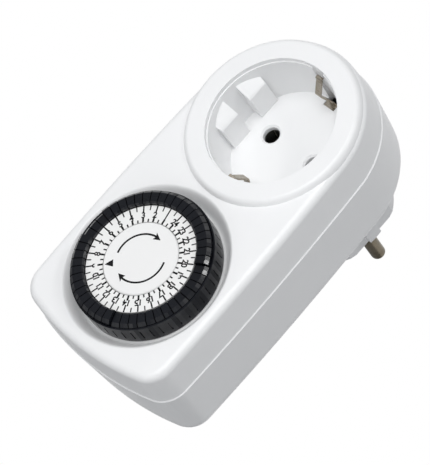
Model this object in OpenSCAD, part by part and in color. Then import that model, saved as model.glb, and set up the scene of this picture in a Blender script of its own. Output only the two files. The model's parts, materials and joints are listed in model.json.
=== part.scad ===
// Plug-in 24 hour timer switch: an earthed pass-through socket and plug with a tappet dial.
// Drawn lying on its back: x is the width, y runs from the dial up to the socket, z points out of
// the front from the plug face. placed() then stands it up, with the front towards -Y.

/* [Casing] */
// Radius of the round end at the seam, which is also half the width beside the socket
casing_half_w = 30; // [29.4:0.1:30.6]
// How much further the sides reach at the widest place
belly = 1.45; // [0.4:0.1:2]
// Distance from the socket axis down to the widest place
belly_y = 52; // [44:1:60]
// Socket axis to the bottom edge, at the seam
casing_reach = 89.6; // [88:0.1:93]
// Casing back to front face
casing_depth = 38.45; // [37.5:0.05:40]
// Front face to the seam between the shells
seam_depth = 13.35; // [12.8:0.05:14]
// Radius of the two bottom corners, seen from the front
corner_r = 9; // [7:0.5:11]
// Radius of the bow of the bottom edge
bottom_bow_r = 105; // [90:1:140]
// Rounding of the front edge
front_edge_r = 2.6; // [1.8:0.1:3]
// Rounding of the back edge
back_edge_r = 6; // [4:0.5:7]
// How far the front shell's walls lean in from the seam to the front edge
front_lean = 0.5; // [0.2:0.1:0.8]
// How far the rear shell's walls lean in from the seam to the back edge
rear_lean = 0.9; // [0.6:0.1:1.6]
// How far the rear shell stands proud of the front shell at the seam
seam_ledge = 0.35; // [0.2:0.05:0.5]
// Wall thickness of both shells
wall = 2.2; // [1.8:0.1:2.4]
// Case screw shank radius
case_screw_r = 1.5; // [1.2:0.1:1.6]
// Bottom case screws: half their distance apart
case_screw_x = 21.4; // [21:0.1:21.6]
// Bottom case screws: distance from the bottom edge
case_screw_in = 10.4; // [10.2:0.1:11]
// Radius on which the two screws beside the socket sit
case_screw_ring_r = 24.2; // [24:0.1:24.4]

/* [Socket] */
// Height of the raised ring above the front face
ring_h = 1.75; // [1.2:0.05:2.4]
// Radius of the raised ring at its foot
ring_r = 28.6; // [28.2:0.1:28.8]
// Radius of the flat top of the raised ring
ring_top_r = 26.6; // [25.5:0.1:27]
// Radius of the socket recess
well_r = 19.9; // [19.7:0.05:20.1]
// Depth of the recess below the ring
well_depth = 18.5; // [18:0.1:19]
// Rounding of the mouth of the recess
well_mouth_r = 1.6; // [1:0.1:2]
// Distance between the two contacts, and between the two plug pins
contact_pitch = 19; // [18.8:0.1:19.2]
// Radius of the two contact holes
contact_hole_r = 2.75; // [2.6:0.05:2.9]
// Inner faces of the four keys beside the contacts: distance from the middle
key_x = 16; // [15.8:0.1:16.2]
// Half the free channel between two keys
key_gap = 2.8; // [2.6:0.1:3]
// Outer edge of a key from the middle
key_reach = 10; // [9:0.1:10.5]

/* [Plug] */
// Height of the plug body
plug_h = 19.2; // [18.4:0.1:20]
// Radius of the plug body
plug_r = 18.7; // [18.5:0.05:18.8]
// Flats on the two sides of the plug body: distance from the middle
plug_flat_x = 15.9; // [15.7:0.1:16.1]
// Width of the middle rib on each flat
plug_rib_w = 4.8; // [4.4:0.1:5]
// Pin radius
pin_r = 2.4; // [2.35:0.05:2.45]
// Pin length beyond the plug face
pin_len = 19; // [18:0.5:19.5]

/* [Dial] */
// Distance between the socket axis and the dial axis
dial_pitch = 57.4; // [57:0.1:58]
// Number of tappets, one for each half hour
tappet_count = 48; // [48:48:48]
// Height of the raised tappets above the front face
tappet_top = 5.85; // [5.5:0.05:6.2]
// Travel of a tappet
tappet_travel = 1.2; // [0.8:0.1:1.3]
// Outer radius of the tappet ring
tappet_r = 22.7; // [22.5:0.05:22.8]
// Inner radius of the tappet ring
tappet_in_r = 18.05; // [17.95:0.05:18.15]
// Gap between two tappets
tappet_gap = 0.3; // [0.25:0.05:0.4]
// Radius of the leg circle of the tappets
leg_r = 20.1; // [20:0.05:20.2]
// Running gap round the tappets
slide_gap = 0.15; // [0.12:0.01:0.18]
// Wall thickness of the drum round the tappets
drum_wall = 0.5; // [0.45:0.05:0.7]
// Outer radius of the printed scale
scale_r = 17.85; // [17.7:0.05:17.85]
// Radius of the fixed centre cap
cap_r = 12.15; // [11.8:0.05:12.3]
// Depth of the dish round the dial
dish_depth = 4.05; // [3.7:0.05:4.2]
// Outer radius of the dish
dish_r = 27.7; // [27:0.1:28]
// Angle of the pointer and of the trip lever, from +x
pointer_angle = 223.5; // [215:0.5:230]

/* [Works] */
// Gear module of both gear pairs
gear_module = 0.4; // [0.38:0.01:0.41]
// Teeth of the gear under the dial
dial_teeth = 72; // [72:72:72]
// Teeth of the clutch wheel
wheel_teeth = 48; // [48:48:48]
// Teeth of both pinions
pinion_teeth = 12; // [12:12:12]
// Radius of the dial post
post_r = 4; // [3.6:0.1:4.2]
// Thickness of the chassis plate
chassis_t = 1.6; // [1.4:0.1:2]
// Radius of the motor can
motor_r = 15.5; // [14:0.1:15.6]
// Height of the motor can
motor_h = 13.4; // [12:0.1:14]
// Thickness of the contact strips
strip_t = 0.8; // [0.6:0.05:0.9]
// Travel of the manual override slide
override_travel = 3.6; // [3:0.1:4]
// Radial running clearance of shafts and pins
run_gap = 0.05; // [0.02:0.01:0.09]
// Clearance of parts that are set into or against each other
seat_gap = 0.1; // [0.05:0.05:0.15]

/* [Hidden] */
$fn = 72;

// The 26 tappet nodes: neighbours with the same position in pairs, and the odd one of each run
// alone. Runs are [first tappet, length], going round from 13:30.
runs = [[27, 13], [40, 19], [11, 3], [14, 13]];
tappet_sets = [for (r = runs, k = [0:2:r[1] - 1])
    [for (j = [k:min(k + 1, r[1] - 1)]) (r[0] + j) % tappet_count]];
function two_digits(n) = n < 10 ? str("0", n) : str(n);
function clock(i) = str(two_digits(floor(i / 2)), i % 2 == 0 ? "00" : "30");
function tappet_name(s) = str("tappet_", clock(tappet_sets[s][0]));

// Heights above the plug face
back_z = plug_h;
front_z = plug_h + casing_depth;
seam_z = front_z - seam_depth;
rim_z = front_z + ring_h;
well_floor_z = rim_z - well_depth;
floor_in_z = back_z + wall;
face_in_z = front_z - wall;
dish_z = front_z - dish_depth;
top_z = front_z + tappet_top;
scale_t = 1.2;
cap_rise = 0.3;
scale_z = top_z - 1.4;

// ---------- helpers ----------

module placed() {
    rotate([90, 0, 0]) children();
}

module at_dial(a = 0) {
    translate([0, -dial_pitch, 0]) rotate([0, 0, a]) children();
}

module tube(r_out, r_in, z0, z1) {
    translate([0, 0, z0]) difference() {
        cylinder(r = r_out, h = z1 - z0);
        translate([0, 0, -1]) cylinder(r = r_in, h = z1 - z0 + 2);
    }
}

module rod(r, z0, z1) {
    translate([0, 0, z0]) cylinder(r = r, h = z1 - z0);
}

module box(lo, hi) {
    translate(lo) cube(hi - lo);
}

module mirror_x() {
    children();
    mirror([1, 0, 0]) children();
}

module mirror_y() {
    children();
    mirror([0, 1, 0]) children();
}

// Casing seen from the front, grown by g: a round end about the socket, bowed sides, two corner
// arcs and a bowed bottom edge. Each arc runs on smoothly into the next one.
side_start_a = 2 * atan(belly / belly_y);
side_shift = belly_y / sin(side_start_a);
side_bow_r = casing_half_w + side_shift;
side_c = -side_shift * [cos(side_start_a), sin(side_start_a)];
bottom_c = [0, bottom_bow_r - casing_reach];
side_d = side_bow_r - corner_r;
bottom_d = bottom_bow_r - corner_r;
between = bottom_c - side_c;
corner_a = acos((side_d * side_d + between * between - bottom_d * bottom_d)
    / (2 * side_d * norm(between)));
side_end_a = atan2(between.y, between.x) - corner_a;
corner_c = side_c + side_d * [cos(side_end_a), sin(side_end_a)];
bottom_end_a = atan2(corner_c.y - bottom_c.y, corner_c.x);

function arc(c, r, a0, a1, n) = [for (i = [0:n]) let (a = a0 + (a1 - a0) * i / n) c + r * [cos(a), sin(a)]];
function without_last(v) = [for (i = [0:len(v) - 2]) v[i]];
function right_half(g) = concat(
    without_last(arc(bottom_c, bottom_bow_r + g, -90, bottom_end_a, 6)),
    without_last(arc(corner_c, corner_r + g, bottom_end_a, side_end_a, 8)),
    without_last(arc(side_c, side_bow_r + g, side_end_a, side_start_a, 8)),
    without_last(arc([0, 0], casing_half_w + g, side_start_a, 90, 24)));
function flipped(v) = [for (i = [len(v) - 1:-1:1]) [-v[i].x, v[i].y]];
function plan(g) = concat(right_half(g), [[0, casing_half_w + g]], flipped(right_half(g)));

module plan_slab(g, z0, z1) {
    translate([0, 0, z0]) linear_extrude(z1 - z0) polygon(plan(g));
}

module slice(g, z) {
    plan_slab(g, z - 0.01, z);
}

// ---------- casing ----------

module front_outer() {
    lean_z = front_z - front_edge_r;
    hull() {
        slice(0, seam_z + 0.01);
        for (a = [0:15:90])
            slice(-front_lean - front_edge_r * (1 - cos(a)), lean_z + front_edge_r * sin(a));
    }
}

module front_cavity() {
    hull() {
        slice(-wall, seam_z);
        slice(-wall - front_lean, face_in_z - 2);
        slice(-wall - front_lean - 2, face_in_z);
    }
}

// Raised ring round the socket, from below the front face up to its flat top
ring_profile = concat(
    [[well_r + 1, seam_z + 2], [ring_r + 0.2, seam_z + 2], [ring_r + 0.2, front_z - 2.5]],
    [for (a = [0:15:90]) [ring_top_r + (ring_r - ring_top_r) * cos(a) + 0.2 * (90 - a) / 90,
                          front_z - 1.2 + (ring_h + 1.2) * sin(a)]],
    [[well_r + 1, rim_z]]);

// Recess: flat floor, straight wall and a rounded mouth that opens onto the ring
well_profile = concat(
    [[0, well_floor_z], [well_r, well_floor_z]],
    [for (a = [0:15:90])
        [well_r + well_mouth_r * (1 - cos(a)), rim_z - well_mouth_r + well_mouth_r * sin(a)]],
    [[well_r + well_mouth_r, rim_z + 1], [0, rim_z + 1]]);

// Dish round the dial: a smooth S from the front face down to the dish floor
drum_r = tappet_r + slide_gap + drum_wall;
lever_nose_r = 0.8;
dish_hole_r = leg_r + lever_nose_r + 0.85;
dish_foot_r = drum_r + 0.3;
function dish_h(r) = dish_depth * (1 + cos(180 * (r - dish_foot_r) / (dish_r - dish_foot_r))) / 2;
dish_curve = [for (i = [0:12])
    let (r = dish_foot_r + (dish_r - dish_foot_r) * i / 12) [r, front_z - dish_h(r)]];
dish_profile = concat([[0, dish_z]], dish_curve, [[dish_r, front_z + 5], [0, front_z + 5]]);

// The plastic left under the dish
bowl_profile = concat(
    [[dish_hole_r, dish_z - wall], [dish_foot_r, dish_z - wall], [dish_r - 0.6, face_in_z - 0.5]],
    [[dish_r - 0.6, front_z - 0.5], [dish_hole_r, front_z - 0.5]]);

key_top_z = rim_z - 3.2;
key_slope_z = rim_z - 7.9;
module key() {
    translate([0, key_reach, 0]) rotate([90, 0, 0]) linear_extrude(key_reach - key_gap)
        polygon([[key_x, well_floor_z - 0.5], [key_x, key_slope_z], [key_x + 0.5, key_slope_z + 0.9],
                 [well_r + 0.5, key_top_z + 0.2], [well_r + 0.5, well_floor_z - 0.5]]);
}

// Earth strip: stands in a slot of the recess floor and in a recess of its wall
earth_y = 17;
earth_w = 4.4;
earth_wall_y = well_r + 1.05;
module earth_slots() {
    w = earth_w / 2 + seat_gap;
    box([-w, earth_y - seat_gap, well_floor_z - 5], [w, earth_wall_y + 0.1, well_floor_z + 0.5]);
    box([-w, earth_y, well_floor_z - 0.5], [w, earth_wall_y + 0.1, rim_z - 1.5]);
}

// Case screws: [x, y]
screw_ring_a = 45;
case_screws_at = [
    [case_screw_x, case_screw_in - casing_reach], [-case_screw_x, case_screw_in - casing_reach],
    case_screw_ring_r * [cos(screw_ring_a), sin(screw_ring_a)],
    case_screw_ring_r * [-cos(screw_ring_a), sin(screw_ring_a)]];
boss_r = 2.6;
boss_drop = 7.7;
boss_z = seam_z - boss_drop;
screw_seat_z = boss_z - wall;

chassis_z = seam_z - 0.3;
chassis_top_z = chassis_z + chassis_t;
chassis_edge = 3.6;
chassis_from = well_r + 7.1;
chassis_screws_at = [[-21.6, -33], [21.6, -33], [0, chassis_edge + 3.6 - casing_reach]];
chassis_screw_r = 1.1;

// Override slide in the left wall
override_y = -40;
override_z = seam_z + 4.4;
override_h = 3;
override_neck = 4;
override_slot = override_neck + override_travel + 2 * slide_gap;
override_slot_h = override_h + 2 * slide_gap;

module front_shell() {
    well_wall_r = well_r + 2;
    color("whitesmoke") placed() difference() {
        union() {
            difference() {
                union() {
                    front_outer();
                    rotate_extrude() polygon(ring_profile);
                }
                front_cavity();
            }
            // recess wall and floor, and the bowl under the dish
            rod(well_wall_r, well_floor_z - wall, front_z - 1);
            at_dial() rotate_extrude() polygon(bowl_profile);
            for (p = case_screws_at) translate(p) rod(boss_r, boss_z, face_in_z + 0.5);
            for (p = chassis_screws_at) translate(p) rod(boss_r, chassis_top_z, face_in_z + 0.5);
            // gussets that tie the recess wall to the face above the works
            for (x = [-12, 0, 12])
                box([x - 0.6, -well_wall_r - 4, face_in_z - 6], [x + 0.6, 2 - well_wall_r, face_in_z + 0.5]);
        }
        difference() {
            rotate_extrude() polygon(well_profile);
            mirror_x() mirror_y() key();
        }
        at_dial() rotate_extrude() polygon(dish_profile);
        at_dial() rod(dish_hole_r, dish_z - wall - 1, front_z);
        mirror_x() translate([contact_pitch / 2, 0, 0]) {
            rod(contact_hole_r, well_floor_z - wall - 1, well_floor_z + 1);
            translate([0, 0, well_floor_z - 0.6])
                cylinder(r1 = contact_hole_r, r2 = contact_hole_r + 0.7, h = 0.7);
        }
        mirror_y() earth_slots();
        for (p = case_screws_at) translate(p) rod(case_screw_r + run_gap, boss_z - 1, boss_z + 11);
        for (p = chassis_screws_at)
            translate(p) rod(chassis_screw_r + run_gap, chassis_top_z - 1, chassis_top_z + 5);
        box([-casing_half_w - 2, override_y - override_slot / 2, override_z - override_slot_h / 2],
            [-casing_half_w + wall + 2, override_y + override_slot / 2, override_z + override_slot_h / 2]);
    }
}

rib_step = 8;
rib_h = 0.6;
rib_half_l = casing_half_w - back_edge_r - 3;
module rear_outer() {
    z0 = back_z + back_edge_r;
    hull() {
        slice(-0.05, seam_z);
        slice(seam_ledge, seam_z - 0.4);
        for (a = [0:15:90])
            slice(-rear_lean - back_edge_r * (1 - cos(a)), z0 - back_edge_r * sin(a) + 0.01);
    }
}

module rear_cavity() {
    hull() {
        slice(-wall, seam_z + 0.1);
        slice(-wall - rear_lean, back_z + back_edge_r + 1);
        slice(-wall - rear_lean - 3.4, floor_in_z);
    }
}

plug_cavity_r = plug_r - 3.2;
plug_face_t = 4;
earth_groove_w = 9;

// Plug body: round with two flats, a rib on each flat, and a groove for each earth contact
module plug_outer() {
    intersection() {
        rotate_extrude()
            polygon([[0, 0], [plug_r - 1, 0], [plug_r, 1], [plug_r, back_z + 1], [0, back_z + 1]]);
        union() {
            box([-plug_flat_x, -plug_r, 0], [plug_flat_x, plug_r, back_z + 1]);
            box([-plug_r, -plug_rib_w / 2, 2.4], [plug_r, plug_rib_w / 2, back_z + 1]);
        }
    }
}

module rear_shell() {
    color("whitesmoke") placed() difference() {
        union() {
            difference() {
                rear_outer();
                difference() {
                    rear_cavity();
                    for (p = case_screws_at) translate(p) rod(boss_r + 1.1, back_z, boss_z - seat_gap);
                    // ribs across the floor
                    for (y = [rib_step - casing_reach:rib_step:-plug_r - rib_step])
                        box([-rib_half_l, y - 0.5, back_z], [rib_half_l, y + 0.5, floor_in_z + rib_h]);
                }
            }
            plug_outer();
            // tongue that fits inside the front shell
            difference() {
                plan_slab(-wall - seat_gap, seam_z - 3, seam_z + 1);
                plan_slab(-wall - 1, seam_z - 4, seam_z + 2);
                for (p = case_screws_at) translate(p) rod(boss_r + 0.3, seam_z - 4, seam_z + 2);
            }
        }
        // hollow plug, and the bores for the pin roots
        intersection() {
            rod(plug_cavity_r, plug_face_t, floor_in_z + 2);
            box([2 - plug_flat_x, -plug_r, 0], [plug_flat_x - 2, plug_r, back_z + 9]);
        }
        mirror_x() translate([contact_pitch / 2, 0, 0]) rod(pin_root_r + run_gap, -1, plug_face_t + 1);
        mirror_y() {
            box([-earth_groove_w / 2, earth_y - seat_gap, -1],
                [earth_groove_w / 2, plug_r + 1, back_z - wall]);
            box([-earth_w / 2 - seat_gap, earth_y - seat_gap, 1],
                [earth_w / 2 + seat_gap, earth_y + strip_t + seat_gap, floor_in_z + 1]);
        }
        // screw wells, open at the back, and the clearance holes above their seats
        for (p = case_screws_at) translate(p) {
            rod(boss_r + 0.2, back_z - 1, screw_seat_z);
            rod(case_screw_r + run_gap, back_z, boss_z + 1);
        }
    }
}

module case_screws() {
    color("silver") placed() for (p = case_screws_at) translate(p) difference() {
        union() {
            rod(boss_r, screw_seat_z - 2, screw_seat_z);
            rod(case_screw_r, screw_seat_z, boss_z + 9);
        }
        // cross slot in the head
        for (a = [0, 90]) rotate([0, 0, a])
            box([-1.6, -0.35, screw_seat_z - 3], [1.6, 0.35, screw_seat_z - 1.1]);
    }
}

// ---------- contacts ----------

carrier_z = floor_in_z + 2.6;
carrier_top_z = well_floor_z - wall;
tulip_r = pin_r + 0.55;
module contact_carrier() {
    half_x = contact_pitch / 2 + 6;
    color("beige") placed() difference() {
        union() {
            box([-half_x, -6.5, carrier_z], [half_x, 6.5, carrier_top_z]);
            // feet on the rear shell's floor, outside the hollow plug
            mirror_x() mirror_y() box([half_x - 2.4, 5, floor_in_z], [half_x, 11.5, carrier_z + 3]);
        }
        mirror_x() translate([contact_pitch / 2, 0, 0]) {
            rod(tulip_r + 1.1, carrier_z - 1, carrier_top_z + 1);
            box([-2.6, -7, carrier_z - 1], [2.6, 0, carrier_z + 4]);
        }
        box([-3.2, -7, carrier_z + 2], [3.2, 7, carrier_top_z - 2]);
    }
}

// Spring tulip: a slit tube that grips a pin, with a flared mouth and a tab for its bar
module tulip() {
    z0 = carrier_z + 2;
    z1 = carrier_top_z - 0.3;
    difference() {
        union() {
            rotate_extrude() polygon([
                [pin_r, z0], [tulip_r, z0], [tulip_r - 0.2, z1 - 2.5], [tulip_r + 0.5, z1],
                [pin_r + 0.5, z1], [pin_r - 0.2, z1 - 2.5]]);
            box([-2.2, -tulip_r - 1.4, z0], [2.2, -pin_r - 0.1, z0 + 1.8]);
        }
        for (a = [45, 135]) rotate([0, 0, a]) box([-5, -0.3, z0 + 4], [5, 0.3, z1 + 1]);
        rod(pin_r, z0 - 1, z0 + 3);
    }
}

module live_contact() {
    color("goldenrod") placed() translate([-contact_pitch / 2, 0, 0]) tulip();
}

module neutral_contact() {
    color("goldenrod") placed() translate([contact_pitch / 2, 0, 0]) tulip();
}

bar_z = floor_in_z + seat_gap;
stem_r = 1.6;
rivet_r = 2.75;
rivet_h = 0.8;
pin_root_r = pin_r + 0.6;

// Plug pin with a domed tip, a thicker root flush with the plug face, a collar and a riveted stem
module plug_pin() {
    dome = 1.6;
    rotate_extrude() polygon(concat(
        [[0, bar_z + strip_t + rivet_h], [0, -pin_len]],
        [for (a = [0:15:90]) [pin_r - dome + dome * sin(a), -pin_len + dome - dome * cos(a)]],
        [[pin_r, 0], [pin_root_r, 0], [pin_root_r, plug_face_t],
         [pin_r + 1, plug_face_t], [pin_r + 1, plug_face_t + 2], [stem_r, plug_face_t + 2],
         [stem_r, bar_z - 1], [rivet_r, bar_z - 1], [rivet_r, bar_z], [stem_r, bar_z],
         [stem_r, bar_z + strip_t], [rivet_r, bar_z + strip_t], [stem_r + 0.4, bar_z + strip_t + rivet_h]]));
}

module live_pin() {
    color("darkkhaki") placed() translate([-contact_pitch / 2, 0, 0]) plug_pin();
}

module neutral_pin() {
    color("darkkhaki") placed() translate([contact_pitch / 2, 0, 0]) plug_pin();
}

// Foot of a bar, riveted on a pin stem
module bar_eye(reach) {
    difference() {
        box([-3, -reach, bar_z], [3, 3.4, bar_z + strip_t]);
        rod(stem_r + run_gap, bar_z - 1, bar_z + strip_t + 1);
    }
}

tab_y = -tulip_r - 1.4;
tab_z = carrier_z + 2;
module neutral_bar() {
    color("peru") placed() translate([contact_pitch / 2, 0, 0]) {
        bar_eye(-tab_y + strip_t);
        box([-2, tab_y - strip_t, bar_z], [2, tab_y, tab_z + 1.8]);
    }
}

// ---------- switch and trip lever, laid out along the pointer ----------

switch_mid = 17.5;
switch_w = 6.5;
switch_len = 20;
switch_h = 11;
blade_t = 7;
blade_w = 3.2;
blade_z = tab_z + strip_t + 0.8;
function dial_point(r, t) = [0, -dial_pitch] + r * [cos(pointer_angle), sin(pointer_angle)]
    + t * [-sin(pointer_angle), cos(pointer_angle)];
blade_in = dial_point(switch_mid, -blade_t);
blade_out = dial_point(switch_mid, blade_t);

// Strip laid flat from one point to the next, with square mitres
module flat_run(points, w, z) {
    for (i = [0:len(points) - 2]) {
        d = points[i + 1] - points[i];
        translate([points[i].x, points[i].y, z]) rotate([0, 0, atan2(d.y, d.x)])
            translate([0, -w / 2, 0]) cube([norm(d) + (i < len(points) - 2 ? w / 2 : 0), w, strip_t]);
    }
}

// Upright end of a strip beside a switch blade
module blade_riser(p, z0) {
    translate([p.x, p.y, z0]) rotate([0, 0, pointer_angle])
        translate([strip_t / 2, -blade_w / 2, 0]) cube([strip_t, blade_w, blade_z + 4 - z0]);
}

module live_in_bar() {
    z = floor_in_z + 0.6 + seat_gap;
    color("peru") placed() {
        translate([-contact_pitch / 2, 0, 0]) bar_eye(11);
        translate([-contact_pitch / 2 - 2, -11 - strip_t / 2, bar_z]) cube([4, strip_t, z - bar_z + strip_t]);
        flat_run([[-contact_pitch / 2, -11], [-18.5, -28], [-18.5, blade_in.y + 6], blade_in], 4, z);
        blade_riser(blade_in, z);
    }
}

live_out_z = tab_z;
module live_out_bar() {
    color("peru") placed() {
        box([-contact_pitch / 2 - 2, tab_y - strip_t, live_out_z],
            [-contact_pitch / 2 + 2, tab_y, live_out_z + 1.8]);
        flat_run([[-contact_pitch / 2, tab_y - strip_t / 2], [-contact_pitch / 2, -36],
                  [-contact_pitch / 2 - 1, blade_out.y + 8], blade_out], 4, live_out_z);
        blade_riser(blade_out, live_out_z);
    }
}

// ---------- earth strips ----------

// Side view of a bent strip of thickness t, mitred at each point that it runs through
function unit(v) = v / norm(v);
function left_of(v) = [-v.y, v.x];
function bend_normal(p, i) = let (
        before = left_of(unit(p[max(i, 1)] - p[max(i, 1) - 1])),
        after = left_of(unit(p[min(i, len(p) - 2) + 1] - p[min(i, len(p) - 2)])))
    (before + after) / (1 + before * after);
function strip_outline(p, t) = concat(
    [for (i = [0:len(p) - 1]) p[i] + bend_normal(p, i) * t / 2],
    [for (i = [len(p) - 1:-1:0]) p[i] - bend_normal(p, i) * t / 2]);

clip_apex = [16.9, well_floor_z + 7.9];
clip_tip = [19.7, well_floor_z + 13.4];
module earth_strip() {
    foot = earth_y + strip_t / 2;
    back = earth_wall_y - strip_t / 2 - 0.1;
    step_z = well_floor_z + 2.2;
    spring_t = 0.6;
    spring_y = back - 0.5;
    rotate([90, 0, 90]) translate([0, 0, -earth_w / 2]) linear_extrude(earth_w) {
        polygon(strip_outline(
            [[foot, 2.6], [foot, well_floor_z + 1], [back, step_z], [back, rim_z - 2.6]], strip_t));
        polygon(strip_outline(concat(
            [[spring_y, step_z + 0.1], [spring_y, step_z + 0.6]],
            arc(clip_apex + [1.1, 0], 1.1, 220, 140, 6),
            [clip_tip], arc(clip_tip + [0.4, 0.1], 0.4, 150, 20, 4)), spring_t));
    }
}

module earth_strip_upper() {
    color("tan") placed() earth_strip();
}

module earth_strip_lower() {
    color("tan") placed() rotate([0, 0, 180]) earth_strip();
}

module earth_bridge() {
    z = carrier_z - strip_t - seat_gap;
    color("tan") placed() {
        box([-2.2, -earth_y, z], [2.2, earth_y, z + strip_t]);
        mirror_y() box([-2.2, earth_y - strip_t, z - 1.4], [2.2, earth_y, z + strip_t]);
    }
}

// ---------- chassis, motor and gears ----------

gear_z = dish_z - 2.9;
gear_t = 2.4;
wheel_z = chassis_top_z + 0.6;
wheel_t = 1.6;
axle_r = 0.8;
clutch_angle = -50;
motor_angle = 96;
dial_clutch_d = gear_module * (dial_teeth + pinion_teeth) / 2;
clutch_motor_d = gear_module * (wheel_teeth + pinion_teeth) / 2;
clutch_at = [0, -dial_pitch] + dial_clutch_d * [cos(clutch_angle), sin(clutch_angle)];
motor_pinion_at = clutch_at + clutch_motor_d * [cos(motor_angle), sin(motor_angle)];
motor_at = motor_pinion_at + [-0.5, 5.2];
motor_plate_t = 1;
motor_screw_d = motor_r + 2.6;
motor_screws_at = [for (a = [125, -70]) motor_at + motor_screw_d * [cos(a), sin(a)]];

// Involute gear outline. Teeth are thinned by the backlash and stubby, so that a pair runs freely.
pressure_a = 20;
backlash = 0.1;
function inv(a) = tan(a) * 180 / PI - a;
function tooth_half(r, n) = let (rp = gear_module * n / 2, rb = rp * cos(pressure_a), q = max(r, rb))
    (90 / n) - (backlash / 2 / rp) * 180 / PI + inv(pressure_a) - inv(acos(rb / q));
function gear_outline(n) = let (
        rp = gear_module * n / 2,
        root = rp - 1.15 * gear_module,
        tip = rp + 0.85 * gear_module,
        base = max(root + 0.02, rp * cos(pressure_a)),
        radii = [root, base, (base + tip) / 2, tip])
    [for (i = [0:n - 1], side = [-1, 1], k = [0:3])
        let (r = radii[side < 0 ? k : 3 - k], a = 360 / n * i + side * tooth_half(r, n))
        r * [cos(a), sin(a)]];

module gear(n, z0, h) {
    translate([0, 0, z0]) linear_extrude(h) polygon(gear_outline(n));
}

lever_pivot_r = 8.5;
lever_pivot_z = chassis_top_z + 2.6;
lever_half_w = 2.3;
ear_t = 1.2;
pivot_pin_r = 0.75;

module chassis() {
    post_foot_r = post_r + 2;
    color("dimgray") placed() {
        difference() {
            intersection() {
                plan_slab(-chassis_edge, chassis_z, chassis_top_z);
                box([-2 * casing_half_w, -casing_reach, chassis_z - 1],
                    [2 * casing_half_w, -chassis_from, chassis_top_z + 1]);
            }
            // square notches round the bottom case screws
            notch = boss_r + 1.4;
            mirror_x() box([case_screw_x - notch, -casing_reach, chassis_z - 1],
                           [casing_half_w + belly, case_screw_in - casing_reach + notch, chassis_top_z + 1]);
            for (p = concat(chassis_screws_at, motor_screws_at))
                translate(p) rod(chassis_screw_r + run_gap, chassis_z - 1, chassis_top_z + 1);
            translate(motor_pinion_at)
                rod(gear_module * pinion_teeth / 2 + 1.4, chassis_z - 1, chassis_top_z + 1);
            translate(clutch_at) rod(axle_r, chassis_z - 1, chassis_top_z + 1);
            translate(dial_point(switch_mid, 0)) rod(2, chassis_z - 1, chassis_top_z + 1);
            at_dial() rod(post_r - 1 + run_gap, chassis_z - 1, chassis_top_z + 1);
        }
        // ears for the trip lever's pin
        at_dial(pointer_angle) difference() {
            mirror_y() box([lever_pivot_r - 1.6, lever_half_w + seat_gap, chassis_top_z - 0.5],
                           [lever_pivot_r + 1.6, lever_half_w + seat_gap + ear_t, lever_pivot_z + 1.6]);
            translate([lever_pivot_r, 0, lever_pivot_z]) rotate([90, 0, 0])
                cylinder(r = pivot_pin_r + 0.02, h = 20, center = true);
        }
        // washer under the clutch wheel
        translate(clutch_at) tube(1.9, axle_r, chassis_top_z - 0.5, wheel_z - seat_gap);
        // wall that guides the override slide
        box([override_in_x, override_y - 8, chassis_top_z - 0.5],
            [override_in_x + 0.9, override_y + 8, override_z + 2.6]);
    }
}

module chassis_screws() {
    color("silver") placed() {
        for (p = chassis_screws_at) translate(p) {
            rod(chassis_screw_r, chassis_z, chassis_top_z + 4.5);
            rod(2.1, chassis_z - 1.4, chassis_z);
        }
        for (p = motor_screws_at) translate(p) {
            rod(chassis_screw_r, chassis_z - motor_plate_t, chassis_top_z - 0.1);
            rod(2.1, chassis_z - motor_plate_t - 1.4, chassis_z - motor_plate_t);
        }
    }
}

motor_z = chassis_z - motor_plate_t - motor_h;
module motor_can() {
    t = 0.8;
    color("silver") placed() translate(motor_at) difference() {
        union() {
            rod(motor_r, motor_z, motor_z + motor_h);
            rod(4, motor_z - 0.8, motor_z);
        }
        rod(motor_r - t, motor_z + t, motor_z + motor_h + 1);
        // claw poles pressed out of the can's floor
        for (a = [0:45:315]) rotate([0, 0, a]) box([5, -0.8, motor_z - 2], [9, 0.8, motor_z + t + 1]);
        // window for the two leads
        rotate([0, 0, 200]) box([motor_r - 3, -3, motor_z + 3], [motor_r + 2, 3, motor_z + 7]);
    }
}

module motor_coil() {
    color("brown") placed() translate(motor_at) rotate_extrude() {
        z0 = motor_z + 0.8;
        polygon([[9, z0], [motor_r - 0.9, z0], [motor_r - 0.9, z0 + 1], [motor_r - 2.2, z0 + 1.6],
                 [motor_r - 2.2, z0 + 8.4], [motor_r - 0.9, z0 + 9], [motor_r - 0.9, z0 + 10], [9, z0 + 10]]);
    }
}

module motor_plate() {
    color("silver") placed() difference() {
        hull() {
            translate(motor_at) rod(motor_r, chassis_z - motor_plate_t, chassis_z);
            for (p = motor_screws_at) translate(p) rod(3, chassis_z - motor_plate_t, chassis_z);
        }
        translate(motor_pinion_at) rod(1.55, chassis_z - 3, chassis_z + 1);
        for (p = motor_screws_at) translate(p) rod(chassis_screw_r + run_gap, chassis_z - 3, chassis_z + 1);
    }
}

// A gap of the motor pinion and of the clutch pinion faces a tooth of its mate.
pinion_step = 360 / pinion_teeth;
module motor_pinion() {
    color("ivory") placed() translate(motor_pinion_at) {
        rotate([0, 0, motor_angle + 180 + pinion_step / 2]) gear(pinion_teeth, wheel_z - 0.3, wheel_t + 0.6);
        rod(1.5, chassis_z - 4, wheel_z - 0.3);
    }
}

// Two leads from the coil to the live and neutral sides, each a bent round wire
lead_r = 0.55;
module wire(points) {
    for (i = [0:len(points) - 2]) hull() for (p = [points[i], points[i + 1]])
        translate(p) sphere(r = lead_r, $fn = 10);
}

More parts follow.
